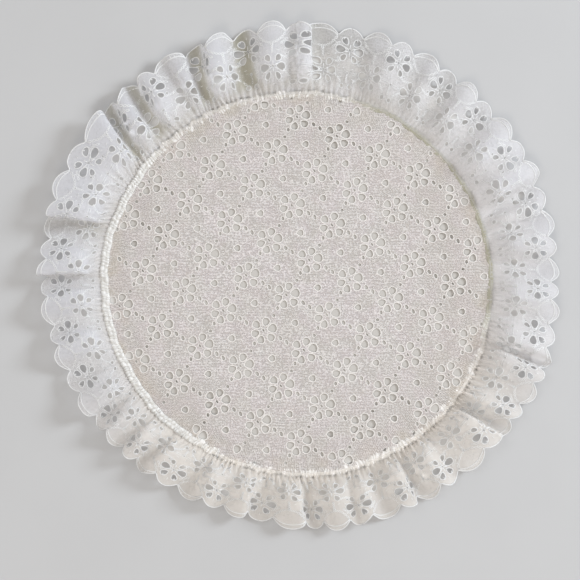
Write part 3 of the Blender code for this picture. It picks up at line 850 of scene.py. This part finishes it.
def seam_width(angle):
    """Share of the ridge's full width at an angle."""
    return np.maximum(1.0 - 0.34 * within(angle, GROOVE) + 0.10 * pleated(angle), 0.60)


def seam_way(angle, out):
    """Distance in metres from the doily's middle to mm outwards from the wandering seam's middle."""
    sway = ripple(angle, 0.0, ((13, 0.30, 1.0), (31, 0.22, 0.0), (67, 0.20, 2.0)))
    return seam_radius(angle) + (out + sway) * MM


def make_seam_ridge():
    """The ridge of pleats caught in the overlock seam."""
    sides = len(RIDGE)
    angle = np.repeat(TURN * np.arange(SEAM_STEPS) / SEAM_STEPS, sides)
    out, up = np.tile(np.array(RIDGE), (SEAM_STEPS, 1)).T
    lump, ragged, above_foot = seam_lump(angle, out), pleated(angle), up > RIDGE_FOOT
    height = up * np.where(above_foot, (0.64 + 0.38 * lump) * seam_stand(angle), 1.0)
    drawn_in = 0.08 + 0.50 * ragged * (0.7 + 0.3 * np.sin(37 * angle))
    stray = 0.30 * ragged * np.sin(73 * angle + 1.1 * np.sin(29 * angle) + np.sign(out))
    spread = out * np.where(above_foot, 1.0 - drawn_in * (1.0 - lump) + stray, 1.0) * seam_width(angle)
    here = angle + 0.0035 * ragged * np.sin(19 * angle + 0.8) * out
    way = seam_way(here, spread)
    points = np.column_stack((way * np.cos(here), way * np.sin(here), height * MM))
    # This chart says across it how full the ridge is, for the seam's material.
    chart = np.column_stack((angle * SEAM_RADIUS / MM, np.where(up > 1.0, lump, 0.0)))
    return new_piece("seam_ridge", points, tube_faces(SEAM_STEPS, sides, closed=True), chart)


def overlock_lines():
    """Where the overlock's slanted threads run: (angle, mm outwards) at seven places on each."""
    lines = []
    for number in range(THREADS):
        middle = TURN * (number + 0.45 * math.sin(2.3 * number)) / THREADS
        bare = within(middle, GROOVE) + 0.85 * pleated(middle)
        if bare > 0.5 + 0.5 * math.sin(5.1 * number):
            continue
        slant = 0.0034 * (1.0 + 0.7 * math.sin(1.7 * number))
        line = []
        for step in range(7):
            angle = middle + slant * (step - 3) / 3 + 0.0018 * math.sin(number + 2.1 * step)
            line.append((angle, (-2.3 + 4.5 * step / 6) * float(seam_width(middle))))
        lines.append(line)
    return lines


def make_seam_stitches():
    """The overlock's slanted threads, each bound over the ridge."""
    points, faces = [], []
    for line in overlock_lines():
        faces += tube_faces(len(line), THREAD_SIDES, closed=False, first=len(points))
        for angle, out in line:
            level = float(np.interp(out / seam_width(angle), *RIDGE_TOP.T))
            lump = float(seam_lump(np.array([angle]), out)[0])
            level = level * (0.66 + 0.36 * lump) * float(seam_stand(angle)) + 0.02
            way = float(seam_way(angle, out))
            for side in range(THREAD_SIDES):
                round_it = TURN * side / THREAD_SIDES
                here = angle + THREAD * math.cos(round_it) * MM / way
                points.append((way * math.cos(here), way * math.sin(here),
                               (level + THREAD * math.sin(round_it)) * MM))
    return new_piece("seam_stitches", points, faces)


# ---- Materials ----
class Value:
    """What a node gives out.  Its sums, its products and a number less it each add a node for them."""

    def __init__(self, shading, socket):
        self.shading = shading
        self.socket = socket

    def __add__(self, other):
        return self.shading.maths("ADD", self, other)

    def __mul__(self, other):
        return self.shading.maths("MULTIPLY", self, other)

    def __rsub__(self, other):
        return self.shading.maths("SUBTRACT", other, self)


class Shading:
    """A material's node tree, with short calls that add and join its nodes.

    What a call is given may be a number, a colour of three parts or another node's Value.
    """

    def __init__(self, name):
        self.material = bpy.data.materials.new(name)
        self.material.use_nodes = True
        self.tree = self.material.node_tree
        self.shader = self.tree.nodes["Principled BSDF"]

    def feed(self, socket, value):
        """Link a socket to another node, or set its value."""
        if isinstance(value, Value):
            self.tree.links.new(value.socket, socket)
        else:
            socket.default_value = (*value, 1.0) if socket.type == "RGBA" else value

    def node(self, kind, fed, output=0, **settings):
        """A new node's output; fed holds what goes to its inputs, by their names or numbers."""
        made = self.tree.nodes.new("ShaderNode" + kind)
        for name, value in settings.items():
            setattr(made, name, value)
        for name, value in fed.items():
            self.feed(made.inputs[name], value)
        return Value(self, made.outputs[output])

    def maths(self, operation, first, second=0.0):
        """What an operation makes of one or two values."""
        return self.node("Math", {0: first, 1: second}, operation=operation)

    def between(self, value, low, high):
        """0 where value is low, 1 where it is high, smooth between."""
        fed = {"Value": value, "From Min": low, "From Max": high}
        return self.node("MapRange", fed, interpolation_type="SMOOTHSTEP")

    def place(self, stretch=(1.0, 1.0, 1.0)):
        """Millimetres on the object, times a stretch."""
        source = self.node("TexCoord", {}, "Object")
        return self.node("Mapping", {"Scale": [share / MM for share in stretch], "Vector": source})

    def chart(self, stretch=(1.0, 1.0, 1.0)):
        """Millimetres on the flat chart, times a stretch."""
        source = self.node("UVMap", {}, uv_map="Chart")
        return self.node("Mapping", {"Scale": stretch, "Vector": source})

    def parts_of(self, place):
        """The x, y and z of a place."""
        first = self.node("SeparateXYZ", {0: place})
        return [Value(self, socket) for socket in first.socket.node.outputs]

    def noise(self, place, size, detail, roughness=0.5, distortion=0.0):
        """Noise with grains of a size in mm, from 0 to 1."""
        fed = {"Vector": place, "Scale": 1.0 / size, "Detail": detail, "Roughness": roughness,
               "Distortion": distortion}
        return self.node("TexNoise", fed, "Fac")

    def patches(self, place, size, detail, low, high, roughness=0.5):
        """Soft-edged patches of a size in mm: 0 where the noise is low, 1 where it is high."""
        return self.between(self.noise(place, size, detail, roughness), low, high)

    def within(self, angle, stretch):
        """1 in the middle of a stretch round the doily, easing to 0 at its ends."""
        closeness = self.maths("COSINE", self.maths("SUBTRACT", angle, math.radians(stretch.middle)))
        return self.between(closeness, *stretch_ends(stretch))

    def mix(self, share, first, second):
        """A tone that goes from the first to the second as the share goes from 0 to 1."""
        return self.node("Mix", {0: share, 6: first, 7: second}, 2, data_type="RGBA")

    def bump(self, height, depth):
        """A relief where a height of 1 stands depth in mm above 0; gives the bumped normal."""
        normal = self.node("Bump", {"Height": height, "Distance": depth * MM, "Strength": 1.0})
        self.feed(self.shader.inputs["Normal"], normal)
        return normal

    def let_light_through(self, colour, share, normal=None):
        """Mix in light that passes through the thin cloth and scatters."""
        fed = {"Color": colour} if normal is None else {"Color": colour, "Normal": normal}
        behind = self.node("BsdfTranslucent", fed)
        both = self.node("MixShader", {0: share, 1: Value(self, self.shader.outputs[0]), 2: behind})
        self.feed(self.tree.nodes["Material Output"].inputs["Surface"], both)

    def finish(self, tone, roughness, specular):
        """The material, with the shader's colour and gloss set."""
        self.feed(self.shader.inputs["Base Color"], tone)
        self.feed(self.shader.inputs["Roughness"], roughness)
        self.feed(self.shader.inputs["Specular IOR Level"], specular)
        return self.material


def panel_relief(cloth, flat, x, y, distance):
    """Wavering ribs with patches of grain, drawn into fine rays towards the seam."""
    wavering = {"Vector": flat, "Scale": 0.19, "Distortion": 5.5, "Detail": 1.0, "Detail Scale": 0.4}
    ribs = cloth.node("TexWave", wavering, "Fac", wave_type="BANDS", bands_direction="Y")
    rib_depth = cloth.patches(flat, 8.0, 1.0, 0.38, 0.62) * 0.26 + 0.17
    grain = cloth.patches(cloth.place((0.80, 1.2, 1.0)), 0.82, 1.0, 0.36, 0.64, roughness=0.6)
    wander = cloth.noise(flat, 5.0, 2.0) * 9.0
    rays = cloth.maths("SINE", cloth.maths("ARCTAN2", y, x) * 640.0 + wander)
    return grain * 0.70 + ribs * rib_depth + rays * cloth.between(distance, 88.0, 103.0) * 0.22


def panel_tone(cloth, flat, x, distance, height):
    """Painted shade where the relief is low, patchy tint and cloud, browner outwards and at the seam, painted
    shade to the right.
    """
    tone = cloth.mix(cloth.patches(flat, 26.0, 2.0, 0.35, 0.65), (0.77, 0.73, 0.72), (0.78, 0.745, 0.74))
    # Painted shade: the cloth is painted darker where its relief is low.
    painted_hollow_shade = cloth.mix(cloth.between(height, 0.15, 0.90), (0.545, 0.508, 0.51), (0.87, 0.84, 0.855))
    tone = cloth.mix(0.90, tone, painted_hollow_shade)
    tint = cloth.mix(cloth.patches(flat, 11.0, 1.0, 0.38, 0.62), (0.71, 0.73, 0.63), (0.87, 0.77, 0.79))
    tone = cloth.mix(0.14, tone, tint)
    tone = cloth.mix(cloth.patches(flat, 19.0, 2.0, 0.58, 0.40) * 0.13, tone, (0.54, 0.49, 0.43))
    # Besides browner outwards, the cloth is painted darker towards the right side: painted shade.
    outer = cloth.between(distance, 50.0, 100.0) + cloth.between(x, 42.0, 92.0)
    tone = cloth.mix(outer * 0.10, tone, (0.56, 0.505, 0.46))
    aged = cloth.between(distance, 97.0, 108.0) * cloth.patches(flat, 17.0, 1.0, 0.40, 0.62)
    return cloth.mix(aged * 0.26, tone, (0.64, 0.56, 0.43))


def panel_material():
    """Cream crinkled cotton, lit a little through."""
    cloth = Shading("panel eyelet cloth")
    flat = cloth.place()
    x, y, _ = cloth.parts_of(flat)
    distance = cloth.node("VectorMath", {0: flat}, "Value", operation="LENGTH")
    height = panel_relief(cloth, flat, x, y, distance)
    cloth.let_light_through((0.93, 0.88, 0.825), 0.37, cloth.bump(height, 0.28))
    return cloth.finish(panel_tone(cloth, flat, x, distance, height), 0.9, 0.25)


def lace_relief(cloth, flat):
    """A fine weave, soft creases, and seed stitches sown in patches."""
    weave = cloth.noise(cloth.chart((1.6, 0.7, 1.0)), 0.9, 2.0, 0.6)
    crease = cloth.noise(cloth.place((0.7, 1.3, 1.0)), 3.2, 3.0, 0.55, 0.4)
    seeds = cloth.node("TexVoronoi", {"Vector": flat, "Scale": 1.0 / 1.15}, "Distance")
    sown = cloth.between(seeds, 0.42, 0.12) * cloth.patches(flat, 4.5, 1.0, 0.46, 0.56)
    return weave * 0.5 + crease * 0.9 + sown * 0.45


def lace_tone(cloth, flat):
    """White: darker in the weave's gaps, aged at the seam, soiled and painted with shade low in the folds,
    with a painted highlight on the crests and painted light on the right.
    """
    _, across, _ = cloth.parts_of(flat)
    spot = cloth.place()
    x, y, level = cloth.parts_of(spot)
    angle = cloth.maths("ARCTAN2", y, x)
    # Painted light: on the right, towards the window, the lace is painted whiter, with less of the weave's
    # gaps, stain and painted shade.
    painted_lit_side = cloth.within(angle, PAINTED_LIT_SIDE)
    off_painted_lit_side = 1.0 - painted_lit_side
    off_root = cloth.between(across, 3.0, 12.0)
    tone = cloth.mix(cloth.patches(spot, 20.0, 2.0, 0.35, 0.65), (0.97, 0.96, 0.98), (0.985, 0.975, 0.99))
    gaps = cloth.patches(cloth.chart((1.2, 1.0, 1.0)), 0.95, 1.0, 0.60, 0.34)
    tone = cloth.mix(gaps * (0.75 - painted_lit_side * 0.4), tone, (0.76, 0.755, 0.745))
    aged = cloth.between(across, 9.0, 1.0) * cloth.patches(spot, 14.0, 1.0, 0.35, 0.60) * off_painted_lit_side
    tone = cloth.mix(aged * 0.18, tone, (0.80, 0.74, 0.62))
    # Painted highlight: the high crests are painted bluish white.
    tone = cloth.mix(cloth.between(level, 6.0, 11.0) * 0.8, tone, (0.955, 0.96, 1.0))
    # Stain and painted shade: low in the folds of the upper left the lace is painted olive-brown.
    soil_and_painted_shade = cloth.within(angle, SOILED_AND_SHADED) * cloth.between(level, 4.6, 0.8) * off_root
    tone = cloth.mix(soil_and_painted_shade * 0.75, tone, (0.60, 0.57, 0.44))
    shaded = cloth.between(level, 4.2, 0.8) * off_root * off_painted_lit_side
    tone = cloth.mix(shaded * 0.18, tone, (0.58, 0.55, 0.47))
    return cloth.mix(cloth.within(angle, CREAMY) * 0.80, tone, (0.98, 0.945, 0.905))


def lace_material():
    """Sheer white lawn, which shows what lies behind it and is lit through."""
    cloth = Shading("ruffle eyelet lace")
    flat = cloth.chart()
    tone = lace_tone(cloth, flat)
    cloth.feed(cloth.shader.inputs["Alpha"], 0.31)
    cloth.let_light_through(tone, 0.42, cloth.bump(lace_relief(cloth, flat), 0.36))
    return cloth.finish(tone, 0.85, 0.3)


def stitch_material(name, colour):
    """Satin stitching: close threads laid across each raised line."""
    thread = Shading(name)
    along, _, _ = thread.parts_of(thread.chart())
    threads = thread.maths("SINE", along * (TURN / THREAD_PITCH))
    uneven = thread.noise(thread.place(), 0.7, 2.0)
    thread.bump(threads * 0.12 + uneven * 0.6, 0.18)
    thread.let_light_through(colour, 0.22)
    darker = [0.90 * part for part in colour]
    return thread.finish(thread.mix(thread.between(uneven, 0.3, 0.7), darker, colour), 0.6, 0.4)


def seam_material():
    """The seam's pleats and thread: white, with painted shade between the pleats, painted light on the lower
    ones, and a groove painted dark and yellowish for its shade and stain.
    """
    thread = Shading("seam thread")
    flat = thread.place()
    x, y, _ = thread.parts_of(flat)
    angle = thread.maths("ARCTAN2", y, x)
    _, lump, _ = thread.parts_of(thread.chart())
    thread.bump(thread.noise(flat, 1.0, 4.0, 0.7), 0.75)
    # Painted shade: the ridge is painted darker between its drawn-up pleats.
    tone = thread.mix(thread.between(lump, 0.05, 0.65), (0.70, 0.68, 0.65), (0.87, 0.86, 0.855))
    tone = thread.mix(thread.patches(flat, 3.5, 2.0, 0.56, 0.38) * 0.35, tone, (0.60, 0.58, 0.54))
    # Painted shade and stain: the groove on the right is painted dark and yellowish.
    tone = thread.mix(thread.within(angle, GROOVE) * 0.93, tone, (0.39, 0.37, 0.285))
    below = thread.within(angle, PLEATED_BELOW)
    ragged = below + thread.within(angle, PLEATED_ABOVE)
    # Painted shade: the ragged pleats are painted darker between their lumps.
    pleats = thread.mix(thread.between(lump, 0.35, 0.85), (0.62, 0.585, 0.53), (0.89, 0.86, 0.845))
    share = thread.patches(flat, 9.0, 2.0, 0.25, 0.62) * 0.35 + 0.6
    tone = thread.mix(ragged * share, tone, pleats)
    # Painted light: the lower pleats are painted lighter, against the shade that falls on them.
    tone = thread.mix(below * 0.35, tone, (0.98, 0.95, 0.93))
    thread.let_light_through((0.90, 0.88, 0.84), 0.12)
    return thread.finish(tone, 0.7, 0.3)


def floor_material():
    """A plain pale surface, very slightly uneven; painted light: lighter under the ruffle, warmer under the
    panel.
    """
    paint = Shading("pale floor")
    flat = paint.place()
    distance = paint.node("VectorMath", {0: flat, 1: (2.0, 4.0, 0.0)}, "Value", operation="DISTANCE")
    tone = paint.mix(paint.patches(flat, 60.0, 3.0, 0.3, 0.7), (0.446, 0.445, 0.453), (0.457, 0.456, 0.464))
    # Painted light: the floor is painted lighter under the ruffle and warmer under the panel.
    below = paint.mix(paint.between(distance, 114.0, 106.0), (0.605, 0.592, 0.578), (0.462, 0.442, 0.420))
    tone = paint.mix(paint.between(distance, 139.0, 127.0), tone, below)
    return paint.finish(tone, 0.55, 0.3)


# ---- The scene ----
# Lengths are in metres, the camera's sensor in mm.  Each soft light is square and faces the doily;
# where it stands is in degrees.
Light = namedtuple("Light", "name azimuth elevation size power colour")
LIGHTS = tuple(Light(*row) for row in (
    ("window", 18.0, 27.0, 0.55, 37.0, (0.87, 0.94, 1.0)),
    ("lamp", 258.0, 46.0, 0.8, 9.0, (1.0, 0.93, 0.83)),
    ("sky", 165.0, 56.0, 1.1, 6.0, (0.93, 0.97, 1.0)),
))
LIGHT_DISTANCE = 2.0
ROOM_LIGHT = (1.0, 0.975, 0.94, 1.0)
ROOM_STRENGTH = 0.695
FLOOR_HALF = 1.6                # half the floor's side
CAMERA_ELEVATION = math.radians(84.0)
CAMERA_DISTANCE = 0.75
CAMERA_TARGET = Vector((-0.0055, -0.0055, 0.004))
FRAME_WIDTH = 0.331             # what the camera sees at its target
SENSOR_WIDTH = 36.0


def dress(piece, material):
    """Give a piece its material and slot, and let it ride with the doily."""
    piece.data.materials.append(material)
    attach(piece, "root")


def make_panel():
    """The disc of eyelet cloth and the stitched rims of its eyelets."""
    flat, faces = panel_disc()
    panel = thick_cloth("panel_cloth", flat, faces, on_panel, PANEL_CLOTH)
    dress(panel, panel_material())
    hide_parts("centre_panel")
    rims = stitched_lines("panel_eyelets", rim_lines(panel_holes(), PANEL_RIM), on_panel)
    dress(rims, stitch_material("panel stitching", (0.875, 0.84, 0.815)))


def make_ruffle():
    """The gathered lace, the stitched rims of its eyelets, and its cords, chains and stitches."""
    flat, faces = lace_strip()
    lace = thick_cloth("ruffle_lace", flat, faces, on_lace, LACE_CLOTH)
    dress(lace, lace_material())
    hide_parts("ruffle")
    stitching = stitch_material("lace stitching", (0.825, 0.825, 0.83))
    holes = [eyelet for number in range(REPEATS) for eyelet in lace_holes(number)]
    rims = stitched_lines("ruffle_eyelets", rim_lines(holes, LACE_RIM), on_lace)
    dress(rims, stitching)
    lines = []
    for number in range(REPEATS):
        start = number * REPEAT
        lines += edge_cords(start) + flower_threads(start) + chains_and_stitches(start)
    cords = stitched_lines("ruffle_cords", lines, on_lace)
    dress(cords, stitching)


def make_seam():
    """The seam's ridge and the threads over it."""
    ridge = make_seam_ridge()
    dress(ridge, seam_material())
    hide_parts("seam")
    stitches = make_seam_stitches()
    dress(stitches, stitch_material("overlock thread", (0.86, 0.85, 0.84)))


def make_floor():
    """The surface that the doily lies on."""
    corners = [(x * FLOOR_HALF, y * FLOOR_HALF, 0.0) for x, y in ((-1, -1), (1, -1), (1, 1), (-1, 1))]
    floor = new_piece("floor", corners, [(0, 1, 2, 3)])
    floor.data.materials.append(floor_material())


def stand_back(thing, target, back, distance):
    """Set a lamp or a camera at a distance from a target, in a direction, and face it there."""
    thing.location = target + back * distance
    thing.rotation_mode = "QUATERNION"
    thing.rotation_quaternion = back.to_track_quat("Z", "Y")


def make_lights():
    """The room's even light and the soft lights in it."""
    world = bpy.data.worlds.new("room light")
    world.use_nodes = True
    background = world.node_tree.nodes["Background"]
    background.inputs["Color"].default_value = ROOM_LIGHT
    background.inputs["Strength"].default_value = ROOM_STRENGTH
    bpy.context.scene.world = world
    for light in LIGHTS:
        lamp = bpy.data.lights.new(light.name, "AREA")
        lamp.size = light.size
        lamp.energy = light.power
        lamp.color = light.colour
        turn, rise = math.radians(light.azimuth), math.radians(light.elevation)
        away = Vector((math.cos(turn) * math.cos(rise), math.sin(turn) * math.cos(rise), math.sin(rise)))
        stand_back(add_to_scene(light.name, lamp), Vector((0.0, 0.0, 0.0)), away, LIGHT_DISTANCE)


def make_camera():
    """The view from nearly straight above."""
    lens = bpy.data.cameras.new("camera")
    lens.sensor_width = SENSOR_WIDTH
    lens.lens = SENSOR_WIDTH * CAMERA_DISTANCE / FRAME_WIDTH
    lens.clip_start = 0.01
    camera = add_to_scene("camera", lens)
    back = Vector((0.0, -math.cos(CAMERA_ELEVATION), math.sin(CAMERA_ELEVATION)))
    stand_back(camera, CAMERA_TARGET, back, CAMERA_DISTANCE)
    bpy.context.scene.camera = camera


make_camera()
make_lights()
make_floor()
make_panel()
make_ruffle()
make_seam()
bpy.context.scene.view_settings.view_transform = "Standard"

bpy.context.view_layer.update()
